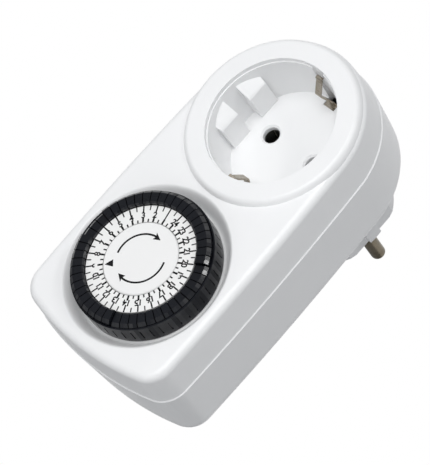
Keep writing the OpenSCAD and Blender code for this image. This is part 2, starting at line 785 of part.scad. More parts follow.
module motor_leads() {
    exit_a = 200;
    inside = motor_at + (motor_r - 1.2) * [cos(exit_a), sin(exit_a)];
    outside = motor_at + (motor_r + 2.2) * [cos(exit_a), sin(exit_a)];
    z = motor_z + 5;
    live_z = live_out_z + strip_t + lead_r;
    floor_lead_z = floor_in_z + 1.6;
    neutral_z = bar_z + strip_t + lead_r;
    neutral_x = contact_pitch / 2 + 2.8;
    color("royalblue") placed() {
        wire([[inside.x, inside.y - 1, z], [outside.x - 1, outside.y - 1.5, z],
              [outside.x - 2, outside.y - 1.5, live_z]]);
        wire([[inside.x, inside.y + 1, z], [outside.x, outside.y + 1, z],
              [outside.x + 1.2, outside.y + 9, floor_lead_z],
              [4.5, -24, floor_lead_z], [neutral_x, -9, floor_lead_z], [neutral_x, -2.5, neutral_z]]);
    }
}

module clutch_axle() {
    color("silver") placed() translate(clutch_at) rod(axle_r, chassis_z, gear_z + gear_t + 1.4);
}

module clutch_wheel() {
    color("ivory") placed() translate(clutch_at) difference() {
        rotate([0, 0, motor_angle]) gear(wheel_teeth, wheel_z, wheel_t);
        rod(axle_r + run_gap, wheel_z - 1, wheel_z + wheel_t + 1);
        for (a = [0:60:300]) rotate([0, 0, a]) translate([5.6, 0, 0])
            rod(1.5, wheel_z - 1, wheel_z + wheel_t + 1);
    }
}

module clutch_pinion() {
    z = wheel_z + wheel_t;
    color("ivory") placed() translate(clutch_at) difference() {
        union() {
            rotate([0, 0, clutch_angle + 180 + pinion_step / 2])
                gear(pinion_teeth, z, gear_z + gear_t + 0.3 - z);
            rod(3.4, z, z + 0.8);
        }
        rod(axle_r + run_gap, z - 1, front_z);
    }
}

// ---------- dial ----------

floor_z = top_z - 6.9;
floor_t = 1.2;
drum_top_z = top_z - 2.3;
hub_r = post_r + 2.4;
leg_w = 1.5;
leg_t = 1.4;
support_r = leg_r - leg_t / 2 - 1.65;
tappet_step = 360 / tappet_count;

module dial_carrier() {
    seat_z = scale_z - scale_t;
    color([0.10, 0.11, 0.12]) placed() at_dial() difference() {
        union() {
            rod(hub_r, gear_z, seat_z - 1.2);
            rotate([0, 0, clutch_angle]) gear(dial_teeth, gear_z, gear_t);
            rod(drum_r, floor_z, floor_z + floor_t);
            tube(drum_r, drum_r - drum_wall, dish_z + 0.4, drum_top_z);
            tube(support_r, support_r - 1.2, floor_z, seat_z);
            tube(cap_r + 1.5, cap_r + 0.4, floor_z, seat_z);
            for (a = [0:60:300]) rotate([0, 0, a])
                box([hub_r - 1, -0.6, gear_z + gear_t - 0.5], [cap_r + 1, 0.6, floor_z + 0.5]);
        }
        rod(post_r + run_gap, gear_z - 1, front_z + 20);
        for (i = [0:tappet_count - 1]) rotate([0, 0, tappet_angle(i)]) {
            box([leg_r - leg_t / 2 - slide_gap, -leg_w / 2 - slide_gap, floor_z - 1],
                [leg_r + leg_t / 2 + slide_gap, leg_w / 2 + slide_gap, floor_z + floor_t + 1]);
            rotate([0, 0, tappet_step / 2])
                box([drum_r - 0.3, -0.2, dish_z + 1.9], [drum_r + 1, 0.2, dish_z + 6]);
        }
    }
}

module time_scale() {
    color("white") placed() at_dial() tube(scale_r, cap_r + 0.2, scale_z - scale_t, scale_z);
}

module centre_cap() {
    z = scale_z - scale_t;
    color("white") placed() at_dial() difference() {
        union() {
            rotate_extrude() polygon([[0, z], [cap_r, z], [cap_r, scale_z],
                                      [cap_r - cap_rise, scale_z + cap_rise], [0, scale_z + cap_rise]]);
            rod(post_r, z - 1, z);
        }
        rod(post_r - 1.4, z - 2, z + 0.6);
    }
}

module dial_post() {
    z = scale_z - scale_t - 1;
    color("silver") placed() at_dial() {
        rod(post_r - 1, chassis_z, chassis_top_z);
        rod(post_r + 0.8, chassis_top_z, gear_z - seat_gap);
        rod(post_r, gear_z - seat_gap, z);
        rod(post_r - 1.4 - run_gap, z, z + 1.4);
    }
}

// Tappet i is in the middle of the half hour that starts at i / 2. The pointer shows about 9:06.
shown_half_hours = 18.2;
function tappet_angle(i) = pointer_angle + (i + 0.5 - shown_half_hours) * tappet_step;

// Pressed at rest: 13:30 to 20:00 and 5:30 to 7:00
function is_pressed(i) = (i >= 27 && i < 40) || (i >= 11 && i < 14);

// One tappet: cap with an inner bevel, an outer chamfer in two facets, a lip and a leg
head_t = 1.5;
lip_t = 0.75;
lip_h = 3.2;
leg_h = 7.1;
chamfer = 1.05;
module tappet() {
    half = tappet_step / 2 - asin(tappet_gap / 2 / leg_r);
    r = tappet_r;
    profile = [
        [tappet_in_r, top_z - head_t], [tappet_in_r, top_z - 0.5], [tappet_in_r + 0.5, top_z],
        [r - chamfer, top_z], [r, top_z - 0.9], [r, top_z - lip_h],
        [r - lip_t, top_z - lip_h], [r - lip_t, top_z - head_t]];
    for (side = [-1, 1]) intersection() {
        rotate([0, 0, side * half / 2]) rotate([90, 0, 0]) linear_extrude(4, center = true) polygon(profile);
        linear_extrude(top_z + 1) polygon([[0, 0], [30, 0], 30 * [1, side * tan(half)]]);
    }
    box([leg_r - leg_t / 2, -leg_w / 2, top_z - leg_h], [leg_r + leg_t / 2, leg_w / 2, top_z - head_t + 0.1]);
}

module tappets(s) {
    color([0.11, 0.12, 0.14]) placed() for (i = tappet_sets[s])
        at_dial(tappet_angle(i)) translate([0, 0, is_pressed(i) ? -tappet_travel : 0]) tappet();
}

// ---------- trip lever and switch ----------

nose_top_z = top_z - leg_h - tappet_travel - seat_gap - 0.05;
arm_z = lever_pivot_z - 1;
arm_t = 2;
module trip_lever() {
    nose_r = lever_nose_r;
    color("orangered") placed() at_dial(pointer_angle) difference() {
        union() {
            translate([lever_pivot_r, 0, lever_pivot_z]) rotate([90, 0, 0])
                cylinder(r = 1.5, h = 2 * lever_half_w, center = true);
            box([lever_pivot_r, -1.5, arm_z], [leg_r + nose_r, 1.5, arm_z + arm_t]);
            box([leg_r - nose_r, -1.2, arm_z + 0.5], [leg_r + nose_r, 1.2, nose_top_z - nose_r]);
            translate([leg_r, 0, nose_top_z - nose_r]) rotate([90, 0, 0])
                cylinder(r = nose_r, h = 2.4, center = true);
        }
        translate([lever_pivot_r, 0, lever_pivot_z]) rotate([90, 0, 0])
            cylinder(r = pivot_pin_r + run_gap, h = 20, center = true);
    }
}

module trip_pin() {
    len = 2 * (lever_half_w + seat_gap + ear_t);
    color("silver") placed() at_dial(pointer_angle) translate([lever_pivot_r, 0, lever_pivot_z])
        rotate([90, 0, 0]) cylinder(r = pivot_pin_r, h = len, center = true);
}

plunger_r = 1;
module switch_case() {
    color("firebrick") placed() at_dial(pointer_angle) difference() {
        box([switch_mid - switch_w / 2, -switch_len / 2, chassis_z - switch_h],
            [switch_mid + switch_w / 2, switch_len / 2, chassis_z]);
        translate([switch_mid, 0, 0]) rod(plunger_r + run_gap, chassis_z - 5.6, chassis_z + 1);
        for (t = [-blade_t, blade_t])
            box([switch_mid - strip_t / 2, t - blade_w / 2, chassis_z - switch_h - 1],
                [switch_mid + strip_t / 2, t + blade_w / 2, chassis_z - switch_h + 3]);
        // mould line round the cover
        for (x = [switch_mid - switch_w / 2, switch_mid + switch_w / 2])
            box([x - 0.15, -switch_len / 2 - 1, chassis_z - 6],
                [x + 0.15, switch_len / 2 + 1, chassis_z - 5.8]);
    }
}

module switch_plunger() {
    color("black") placed() at_dial(pointer_angle) translate([switch_mid, 0, 0])
        rod(plunger_r, chassis_z - 4.2, arm_z - seat_gap);
}

module switch_terminals() {
    color("goldenrod") placed() at_dial(pointer_angle) for (t = [-blade_t, blade_t])
        box([switch_mid - strip_t / 2, t - blade_w / 2, blade_z],
            [switch_mid + strip_t / 2, t + blade_w / 2, chassis_z - switch_h + 3]);
}

// ---------- manual override ----------

override_in_x = -casing_half_w + wall + 2.2;
override_out_x = -casing_half_w - 1.1;
module override_slide() {
    low = override_y - override_slot / 2 + slide_gap;
    color("crimson") placed() difference() {
        union() {
            box([override_out_x, low, override_z - override_h / 2],
                [override_in_x - 1, low + override_neck, override_z + override_h / 2]);
            box([override_in_x - 1.3, low - 2, override_z - 2.4],
                [override_in_x - slide_gap, low + override_neck + 2, override_z + 2.4]);
        }
        for (k = [1:4]) translate([override_out_x, low + override_neck * k / 5, 0]) rotate([0, 0, 45])
            box([-0.3, -0.3, override_z - 3], [0.3, 0.3, override_z + 3]);
    }
}

front_shell();
rear_shell();
case_screws();
contact_carrier();
live_contact();
neutral_contact();
live_pin();
neutral_pin();
neutral_bar();
live_in_bar();
live_out_bar();
earth_strip_upper();
earth_strip_lower();
earth_bridge();
chassis();
chassis_screws();
motor_can();
motor_coil();
motor_plate();
motor_pinion();
motor_leads();
clutch_axle();
clutch_wheel();
clutch_pinion();
dial_carrier();
time_scale();
centre_cap();
dial_post();
trip_lever();
trip_pin();
switch_case();
switch_plunger();
switch_terminals();
override_slide();
for (s = [0:25]) tappets(s);
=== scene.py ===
import json
import math

import bmesh
import bpy
from mathutils import Matrix, Vector


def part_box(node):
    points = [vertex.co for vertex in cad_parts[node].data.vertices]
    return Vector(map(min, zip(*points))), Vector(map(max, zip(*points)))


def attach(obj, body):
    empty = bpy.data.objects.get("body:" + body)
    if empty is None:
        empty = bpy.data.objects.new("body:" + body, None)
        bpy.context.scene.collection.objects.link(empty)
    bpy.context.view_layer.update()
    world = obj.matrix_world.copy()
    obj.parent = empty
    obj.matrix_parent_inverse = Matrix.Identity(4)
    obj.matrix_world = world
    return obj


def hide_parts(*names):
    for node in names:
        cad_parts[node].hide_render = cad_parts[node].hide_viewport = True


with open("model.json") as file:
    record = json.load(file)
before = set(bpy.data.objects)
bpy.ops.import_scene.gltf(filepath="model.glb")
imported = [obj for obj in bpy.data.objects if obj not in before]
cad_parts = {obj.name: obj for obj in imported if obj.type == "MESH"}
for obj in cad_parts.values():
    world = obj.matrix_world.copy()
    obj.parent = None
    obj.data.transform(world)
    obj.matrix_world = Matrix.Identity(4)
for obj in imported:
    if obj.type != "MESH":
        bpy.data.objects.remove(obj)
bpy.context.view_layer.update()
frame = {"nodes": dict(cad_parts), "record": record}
nodes = frame["nodes"]
record = frame["record"]
MM = 0.001


def placed(at, x, y, z):
    """The matrix of an object at a place, with its own axes along x, y and z."""
    return Matrix.Translation(at) @ Matrix((x, y, z)).transposed().to_4x4()


def add_object(name, data):
    o = bpy.data.objects.new(name, data)
    bpy.context.scene.collection.objects.link(o)
    return o


# ---------- camera ----------
# Fitted to the socket's and the dial's outlines in the photograph, which is 465 pixels on its long side.

FORWARD = Vector((-0.5715862, 0.8109793, 0.1249075))
UP = Vector((-0.4857422, -0.4571095, 0.7450539))
RIGHT = FORWARD.cross(UP)
EYE = Vector((0.7581676, -1.1179798, -0.2004479))
FOCAL_PX = 4394.6
LONG_SIDE_PX = 465

camera_data = bpy.data.cameras.new("camera")
camera_data.sensor_width = 36
camera_data.lens = FOCAL_PX * camera_data.sensor_width / LONG_SIDE_PX
camera_data.clip_start = 0.05
camera_data.clip_end = 50
camera = add_object("camera", camera_data)
camera.matrix_world = placed(EYE, RIGHT, UP, -FORWARD)
bpy.context.scene.camera = camera
bpy.context.scene.view_settings.view_transform = "Standard"

# ---------- sizes taken from the frame ----------

def row(x, y, z):
    """A point of the source, in mm, in the row frame."""
    return Vector((x, -z, y)) * MM


scale_lo, scale_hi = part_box("time_scale")
cap_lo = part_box("centre_cap")[0]
DIAL = Vector(((scale_lo.x + scale_hi.x) / 2, 0, (scale_lo.z + scale_hi.z) / 2)) / MM
SCALE_R = (scale_hi.x - scale_lo.x) / 2 / MM
SCALE_Z = -scale_lo.y / MM
CAP_Z = -cap_lo.y / MM

# angles round the dial, in degrees from the +x of the source
POINTER = 223.5
MIDNIGHT = 87.0
HOUR = 15.0
HOURS = 24


def dial_point(r, a, z):
    """A point at radius r and angle a round the dial's axis, at height z of the source."""
    a = math.radians(a)
    return row(DIAL.x + r * math.cos(a), DIAL.z + r * math.sin(a), z)


# ---------- materials ----------

# noise scales per metre, and bump depths in metres
CLOUDS, GLOSS_PATCHES, SINKS, PRESS_MARKS, GRAIN = 60, 220, 45, 260, 5200
SINK_DEPTH, GRAIN_DEPTH = 0.00006, 0.000012
TARNISH, TARNISH_DEPTH, STREAK_DEPTH = 240, 0.00003, 0.00001
WRAP_GLOSS_PATCHES, WRAP_DEPTH = 400, 0.00008

# tappets: how much of the normal points out of the dial on its flat tops and on its slopes
FLAT, STEEP = 0.97, 0.90
TOP_SHINE, SLOPE_SHINE, SLOPE_SHINE_SPREAD = 0.10, 0.06, 0.5
TAPPET_ROUGH, SLOPE_POLISH = (0.24, 0.32), 0.10


def calculator(tree):
    """A function that adds a Math node to the tree, with numbers or sockets as its inputs."""
    def calc(operation, *values):
        m = tree.nodes.new("ShaderNodeMath")
        m.operation = operation
        for socket, value in zip(m.inputs, values):
            if isinstance(value, (int, float)):
                socket.default_value = value
            else:
                tree.links.new(value, socket)
        return m.outputs[0]
    return calc


class Nodes:
    """A material's node tree, with short names for what the materials here use."""

    def __init__(self, name):
        self.material = bpy.data.materials.new(name)
        self.material.use_nodes = True
        self.tree = self.material.node_tree
        self.shader = self.tree.nodes["Principled BSDF"]
        self.place = self.tree.nodes.new("ShaderNodeTexCoord").outputs["Object"]

    def link(self, a, b):
        self.tree.links.new(a, b)

    def noise(self, scale, detail=3.0, rough=0.5, stretch=(1, 1, 1)):
        mapping = self.tree.nodes.new("ShaderNodeMapping")
        mapping.inputs["Scale"].default_value = stretch
        self.link(self.place, mapping.inputs["Vector"])
        n = self.tree.nodes.new("ShaderNodeTexNoise")
        n.inputs["Scale"].default_value = scale
        n.inputs["Detail"].default_value = detail
        n.inputs["Roughness"].default_value = rough
        self.link(mapping.outputs["Vector"], n.inputs["Vector"])
        return n.outputs["Fac"]

    def ramp(self, value, stops):
        """The value as a colour, through [(place, colour)]."""
        r = self.tree.nodes.new("ShaderNodeValToRGB")
        for element, (at, colour) in zip(r.color_ramp.elements, (stops[0], stops[-1])):
            element.position, element.color = at, (*colour, 1)
        for at, colour in stops[1:-1]:
            r.color_ramp.elements.new(at).color = (*colour, 1)
        self.link(value, r.inputs["Fac"])
        return r.outputs["Color"]

    def span(self, value, low, high):
        """A noise's value, which keeps near its middle, spread from low to high."""
        m = self.tree.nodes.new("ShaderNodeMapRange")
        m.inputs["From Min"].default_value = 0.3
        m.inputs["From Max"].default_value = 0.7
        m.inputs["To Min"].default_value = low
        m.inputs["To Max"].default_value = high
        self.link(value, m.inputs["Value"])
        return m.outputs["Result"]

    def bump(self, heights):
        """Bumps on top of each other: [(value, strength, depth in metres)]."""
        normal = None
        for value, strength, depth in heights:
            b = self.tree.nodes.new("ShaderNodeBump")
            b.inputs["Strength"].default_value = strength
            b.inputs["Distance"].default_value = depth
            self.link(value, b.inputs["Height"])
            if normal is not None:
                self.link(normal, b.inputs["Normal"])
            normal = b.outputs["Normal"]
        self.link(normal, self.shader.inputs["Normal"])

    def clouded(self, colour, spread):
        """A base colour that drifts by the spread in soft clouds."""
        low, high = shades(colour, spread)
        cloud = self.noise(CLOUDS, 4)
        self.link(self.ramp(cloud, [(0.35, low), (0.65, high)]), self.shader.inputs["Base Color"])

    def set(self, **values):
        for name, value in values.items():
            self.shader.inputs[name.replace("_", " ")].default_value = value


def shades(colour, spread):
    """The colour, darker and lighter by the spread."""
    low = tuple(max(0.0, c * (1 - spread)) for c in colour)
    high = tuple(min(1.0, c * (1 + spread)) for c in colour)
    return low, high


def plastic(name, colour, rough, spread=0.02, grain=0.25, wave=0.15, shine=0.5):
    """Moulded plastic: fine spark-eroded grain, faint sink waves, and a gloss that varies a little."""
    n = Nodes(name)
    n.clouded(colour, spread)
    n.link(n.span(n.noise(GLOSS_PATCHES, 3), rough * 0.88, rough * 1.12), n.shader.inputs["Roughness"])
    n.bump([(n.noise(SINKS, 2), wave, SINK_DEPTH), (n.noise(GRAIN, 2, 0.6), grain, GRAIN_DEPTH)])
    n.set(IOR=1.5, Specular_IOR_Level=shine)
    return n.material


def tappet_black(name, colour):
    """Black tappets: matt top faces, polished chamfers whose gloss differs from facet to facet."""
    n = Nodes(name)
    new, calc = n.tree.nodes.new, calculator(n.tree)
    split = new("ShaderNodeSeparateXYZ")
    n.link(n.place, split.inputs[0])
    angle = calc("ARCTAN2", calc("SUBTRACT", split.outputs["Z"], DIAL.z * MM),
                 calc("SUBTRACT", split.outputs["X"], DIAL.x * MM))
    facet = calc("FLOOR", calc("DIVIDE", calc("SUBTRACT", angle, math.radians(MIDNIGHT)),
                               math.radians(HOUR / 4)))
    chance = new("ShaderNodeTexWhiteNoise")
    chance.noise_dimensions = "1D"
    n.link(facet, chance.inputs["W"])
    facing = new("ShaderNodeSeparateXYZ")
    n.link(new("ShaderNodeTexCoord").outputs["Normal"], facing.inputs[0])
    slope = new("ShaderNodeMapRange")
    slope.inputs["From Min"].default_value = FLAT
    slope.inputs["From Max"].default_value = STEEP
    n.link(calc("ABSOLUTE", facing.outputs["Y"]), slope.inputs["Value"])
    steep = slope.outputs["Result"]
    shine = calc("ADD", calc("MULTIPLY", chance.outputs["Value"], SLOPE_SHINE_SPREAD), SLOPE_SHINE)
    n.link(calc("ADD", calc("MULTIPLY", steep, shine), TOP_SHINE), n.shader.inputs["Specular IOR Level"])
    n.clouded(colour, 0.15)
    rough = n.span(n.noise(GLOSS_PATCHES, 3), *TAPPET_ROUGH)
    n.link(calc("SUBTRACT", rough, calc("MULTIPLY", steep, SLOPE_POLISH)), n.shader.inputs["Roughness"])
    n.bump([(n.noise(PRESS_MARKS, 2), 0.8, SINK_DEPTH), (n.noise(GRAIN, 2, 0.6), 0.2, GRAIN_DEPTH)])
    return n.material


def metal(name, colour, rough, spread=0.12, stretch=(1, 1, 1), scale=900, tarnish=None):
    """Drawn or rolled metal: streaks along one way, cloudy tarnish and a brushed bump."""
    n = Nodes(name)
    low, high = shades(colour, spread)
    cloud = n.noise(TARNISH, 5, 0.6)
    n.link(n.ramp(cloud, [(0.3, tarnish or low), (0.5, colour), (0.7, high)]), n.shader.inputs["Base Color"])
    streak = n.noise(scale, 4, 0.7, stretch)
    n.link(n.span(streak, rough * 0.75, rough * 1.3), n.shader.inputs["Roughness"])
    n.bump([(streak, 0.35, STREAK_DEPTH), (cloud, 0.1, TARNISH_DEPTH)])
    n.set(Metallic=1.0)
    return n.material


def wound(name, colour, rough, turn):
    """Turns of wire or a wrapped cover: fine ridges round the piece, one to each turn (in metres)."""
    n = Nodes(name)
    wave = n.tree.nodes.new("ShaderNodeTexWave")
    wave.bands_direction = "Y"
    wave.inputs["Scale"].default_value = 1 / turn
    wave.inputs["Distortion"].default_value = 0.6
    n.link(n.place, wave.inputs["Vector"])
    low, high = shades(colour, 0.25)
    n.link(n.ramp(wave.outputs["Fac"], [(0.1, low), (0.9, high)]), n.shader.inputs["Base Color"])
    n.link(n.span(n.noise(WRAP_GLOSS_PATCHES), rough * 0.8, rough * 1.2), n.shader.inputs["Roughness"])
    n.bump([(wave.outputs["Fac"], 0.6, WRAP_DEPTH)])
    return n.material


WHITE = (0.90, 0.905, 0.91)

# plastic: name, colour, roughness, colour spread, grain, sink waves
# metal: name, colour, roughness, colour spread, stretch and scale of the streaks, tarnish
# wound: name, colour, roughness, turn
finish = {
    "white_shell": plastic("shell_white", WHITE, 0.34, 0.008, 0.22, 0.12),
    "dark_plastic": tappet_black("tappet_black", (0.007, 0.008, 0.011)),
    "scale_face": plastic("scale_white", (0.87, 0.87, 0.86), 0.45, 0.01, 0.3, 0.1),
    "cap_face": plastic("cap_white", (0.88, 0.88, 0.875), 0.30, 0.01, 0.2, 0.1),
    "pin_metal": metal("pin_brass", (0.17, 0.145, 0.105), 0.34, 0.10, (60, 4, 60), 30, (0.11, 0.09, 0.06)),
    "clip_metal": metal("clip_nickel", (0.40, 0.36, 0.30), 0.28, 0.10, (8, 1, 40), 60, (0.26, 0.21, 0.15)),
    "contact_brass": metal("contact_brass", (0.24, 0.24, 0.22), 0.30, 0.12, (20, 2, 20), 60),
    "copper_bar": metal("bar_copper", (0.72, 0.45, 0.28), 0.34, 0.12, (4, 4, 30), 60),
    "steel": metal("zinc_steel", (0.62, 0.62, 0.63), 0.36, 0.10),
    "carrier_plastic": plastic("carrier_natural", (0.80, 0.77, 0.68), 0.5, 0.05, 0.6, 0.2),
    "chassis_plastic": plastic("chassis_grey", (0.16, 0.16, 0.17), 0.5, 0.06, 0.6, 0.2),
    "gear_plastic": plastic("gear_acetal", (0.88, 0.86, 0.78), 0.38, 0.03, 0.25, 0.1),
    "coil": wound("coil_tape", (0.45, 0.20, 0.10), 0.4, 0.0012),
    "wire_blue": wound("wire_cover", (0.10, 0.20, 0.60), 0.4, 0.004),
    "lever_orange": plastic("lever_orange", (0.80, 0.30, 0.08), 0.45, 0.05, 0.4, 0.2),
    "switch_red": plastic("switch_red", (0.50, 0.06, 0.05), 0.45, 0.06, 0.4, 0.2),
    "slide_red": plastic("slide_red", (0.65, 0.05, 0.04), 0.34, 0.05, 0.3, 0.15),
}
INK = plastic("print_ink", (0.007, 0.007, 0.008), 0.5, 0.2, 0.5, 0.1, shine=0.12)


# ---------- modifiers of the CAD meshes ----------

# vertices closer than this (m) are joined, and edges sharper than this (degrees) stay sharp
WELD = 2e-6
CREASE = 28

# in mm: heights of the recess's floor and rim, radii of its wall and mouth, height of the mouth's edge, lean
SOCKET_FLOOR, SOCKET_RIM = 40.9, 59.4
WELL_R, MOUTH_R, MOUTH_H, FLARE = 19.9, 21.5, 1.6, 1.0
# how far inside the wall's radius a vertex still counts as part of it
TESSELLATION = 0.05


def geometry_group(name):
    """A modifier's node group: the group, where its geometry comes in and where it goes out."""
    g = bpy.data.node_groups.new(name, "GeometryNodeTree")
    for way in ("INPUT", "OUTPUT"):
        g.interface.new_socket("Geometry", in_out=way, socket_type="NodeSocketGeometry")
    return g, g.nodes.new("NodeGroupInput").outputs[0], g.nodes.new("NodeGroupOutput").inputs[0]


def smoothing():
    """Joins the tessellation and shades it smooth, but for edges over the CREASE."""
    g, start, end = geometry_group("smooth_cad")
    add, link = g.nodes.new, g.links.new
    bare = add("GeometryNodeRemoveAttribute")
    bare.inputs["Name"].default_value = "custom_normal"
    merge = add("GeometryNodeMergeByDistance")
    merge.inputs["Distance"].default_value = WELD
    faces = add("GeometryNodeSetShadeSmooth")
    edges = add("GeometryNodeSetShadeSmooth")
    edges.domain = "EDGE"
    edges.inputs["Shade Smooth"].default_value = False
    bend = add("GeometryNodeInputMeshEdgeAngle")
    over = add("FunctionNodeCompare")
    over.inputs[1].default_value = math.radians(CREASE)
    link(start, bare.inputs["Geometry"])
    link(bare.outputs[0], merge.inputs[0])
    link(merge.outputs[0], faces.inputs[0])
    link(bend.outputs["Unsigned Angle"], over.inputs[0])
    link(faces.outputs[0], edges.inputs[0])
    link(over.outputs[0], edges.inputs["Selection"])
    link(edges.outputs[0], end)
    return g


SMOOTH = smoothing()


def draft():
    """Leans the recess's wall out by FLARE at the mouth, with a tighter edge there."""
    g, start, end = geometry_group("recess_draft")
    calc = calculator(g)

    def ramp(value, v0, v1, to0, to1):
        m = g.nodes.new("ShaderNodeMapRange")
        for key, number in (("From Min", v0), ("From Max", v1), ("To Min", to0), ("To Max", to1)):
            m.inputs[key].default_value = number
        g.links.new(value, m.inputs["Value"])
        return m.outputs["Result"]

    split = g.nodes.new("ShaderNodeSeparateXYZ")
    g.links.new(g.nodes.new("GeometryNodeInputPosition").outputs[0], split.inputs[0])
    x, y, z = split.outputs
    r = calc("SQRT", calc("ADD", calc("MULTIPLY", x, x), calc("MULTIPLY", z, z)))
    lean = ramp(y, -SOCKET_FLOOR * MM, -(SOCKET_RIM - MOUTH_H) * MM, 0.0, FLARE)
    share = ramp(r, WELL_R * MM, MOUTH_R * MM, 1.0, 0.0)
    inside = calc("MULTIPLY", calc("GREATER_THAN", r, (WELL_R - TESSELLATION) * MM),
                  calc("LESS_THAN", r, MOUTH_R * MM))
    push = calc("DIVIDE", calc("MULTIPLY", calc("MULTIPLY", lean, share), inside), r)
    offset = g.nodes.new("ShaderNodeCombineXYZ")
    g.links.new(calc("MULTIPLY", calc("MULTIPLY", x, push), MM), offset.inputs["X"])
    g.links.new(calc("MULTIPLY", calc("MULTIPLY", z, push), MM), offset.inputs["Z"])
    move = g.nodes.new("GeometryNodeSetPosition")
    g.links.new(start, move.inputs["Geometry"])
    g.links.new(offset.outputs[0], move.inputs["Offset"])
    g.links.new(move.outputs[0], end)
    return g


def weigh_normals(o):
    o.modifiers.new("normals", "WEIGHTED_NORMAL").keep_sharp = True


def dress(o, material):
    o.data.materials.clear()
    o.data.materials.append(material)
    if o.name == "front_shell":
        o.modifiers.new("draft", "NODES").node_group = draft()
    o.modifiers.new("smooth", "NODES").node_group = SMOOTH
    weigh_normals(o)


slot_of = {s["node"]: s["material_slot"] for s in record["subparts"]}
for name, o in nodes.items():
    dress(o, finish[slot_of[name]])


# ---------- printed pieces ----------

# in mm, with the ticks' radii and the numbers' as shares of the scale's radius
PRINT_T = 0.02
HOUR_TICKS = ((0.865, 0.998, 0.46), (0.690, 0.785, 0.62))
HALF_HOUR_TICKS = ((0.913, 0.998, 0.38), (0.690, 0.748, 0.44))
NUMBERS_R = 0.822
DIGIT_SIZE, DIGIT_SPACING, DIGIT_WEIGHT = 2.7, 0.92, 0.085

# the cap's pointer and arrows, in mm and degrees
POINTER_TIP_R, POINTER_FOOT_R, POINTER_HALF_A = 11.6, 8.9, 8.0
ARROWS = ((23.9, -108.1), (200.1, 81.6))
ARC_R, ARC_W, ARC_STEPS = 8.1, 0.62, 24
HEAD, HEAD_HALF_W, HEAD_TIP_IN = 18.5, 1.2, 0.1
SHAFT_END, HEAD_NOTCH = 0.8, 0.82


def closed_mesh(name, mesh, material):
    """A bmesh as the mesh of a piece, with its faces turned outward."""
    data = bpy.data.meshes.new(name)
    bmesh.ops.recalc_face_normals(mesh, faces=mesh.faces)
    mesh.to_mesh(data)
    mesh.free()
    data.materials.append(material)
    return data


class Print:
    """Ink laid on a flat face, as thin closed prisms in one mesh."""

    def __init__(self, z):
        self.z = z
        self.mesh = bmesh.new()

    def prism(self, outline):
        """outline: points (r, angle) about the dial axis, anticlockwise."""
        low = [self.mesh.verts.new(dial_point(r, a, self.z - PRINT_T)) for r, a in outline]
        top = [self.mesh.verts.new(dial_point(r, a, self.z + PRINT_T)) for r, a in outline]
        self.mesh.faces.new(top)
        self.mesh.faces.new(low[::-1])
        n = len(outline)
        for i in range(n):
            self.mesh.faces.new((low[i], low[(i + 1) % n], top[(i + 1) % n], top[i]))

    def tick(self, a, r0, r1, w):
        """A radial bar of width w."""
        t0, t1 = (math.degrees(math.asin(w / 2 / r)) for r in (r0, r1))
        self.prism([(r0, a - t0), (r1, a - t1), (r1, a + t1), (r0, a + t0)])

    def piece(self, name, body, material):
        o = add_object(name, closed_mesh(name, self.mesh, material))
        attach(o, body)
        return o


ticks = Print(SCALE_Z)
for k in range(2 * HOURS):
    for inner, outer, width in HALF_HOUR_TICKS if k % 2 else HOUR_TICKS:
        ticks.tick(MIDNIGHT + k * HOUR / 2, inner * SCALE_R, outer * SCALE_R, width)
ticks.piece("scale_ticks", "dial", INK)


def numbers(name, size, radius):
    """The hours as one mesh, each with its top to the rim."""
    whole = bmesh.new()
    for h in range(1, HOURS + 1):
        curve = bpy.data.curves.new("digits", "FONT")
        curve.body = str(h)
        curve.size = size
        curve.align_x = "CENTER"
        curve.align_y = "CENTER"
        curve.space_character = DIGIT_SPACING
        curve.offset = DIGIT_WEIGHT
        curve.extrude = PRINT_T
        text = add_object("digits", curve)
        bpy.context.view_layer.update()
        mesh = bpy.data.meshes.new_from_object(text.evaluated_get(bpy.context.evaluated_depsgraph_get()))
        a = math.radians(MIDNIGHT + h * HOUR)
        out, side = Vector((math.cos(a), math.sin(a))), Vector((math.sin(a), -math.cos(a)))
        for v in mesh.vertices:
            p = radius * out + v.co.y * out + v.co.x * side
            v.co = row(DIAL.x + p.x, DIAL.z + p.y, SCALE_Z + v.co.z)
        whole.from_mesh(mesh)
        bpy.data.objects.remove(text)
        bpy.data.curves.remove(curve)
        bpy.data.meshes.remove(mesh)
    o = add_object(name, closed_mesh(name, whole, INK))
    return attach(o, "dial")


numbers("scale_numbers", DIGIT_SIZE, NUMBERS_R * SCALE_R)

signs = Print(CAP_Z)
signs.prism([(POINTER_FOOT_R, POINTER - POINTER_HALF_A), (POINTER_FOOT_R, POINTER + POINTER_HALF_A),
             (POINTER_TIP_R, POINTER)])
for start, end in ARROWS:
    stop = end + HEAD * SHAFT_END
    way = [start + (stop - start) * i / ARC_STEPS for i in range(ARC_STEPS + 1)]
    signs.prism([(ARC_R + ARC_W / 2, a) for a in way[::-1]] + [(ARC_R - ARC_W / 2, a) for a in way])
    signs.prism([(ARC_R + HEAD_HALF_W, end + HEAD), (ARC_R, end + HEAD * HEAD_NOTCH),
                 (ARC_R - HEAD_HALF_W, end + HEAD), (ARC_R - HEAD_TIP_IN, end)])
signs.piece("cap_print", "casing", INK)


# ---------- earth clips ----------

# in mm: y is the way out from the socket's axis, z counts from the recess's floor
CLIP_BEVEL = 0.12
FOOT_Y, BEND_Y, FOOT_Z = 17.3, 19.3, -0.45
FOOT_W, FOOT_T = 4.2, 0.75
SPRING_W, SPRING_T = 2.4, 0.6
ROOT = ((BEND_Y - 0.3, -0.7), (BEND_Y - 0.15, -0.1))
BULGE, BULGE_R, BULGE_TURN, BULGE_STEPS = (17.85, 8.1), 1.05, (196, 149), 5
NECK = (19.8, 13.1)
TIP, TIP_R, TIP_TURN, TIP_STEPS = (20.1, 13.4), 0.42, (150, 0), 6


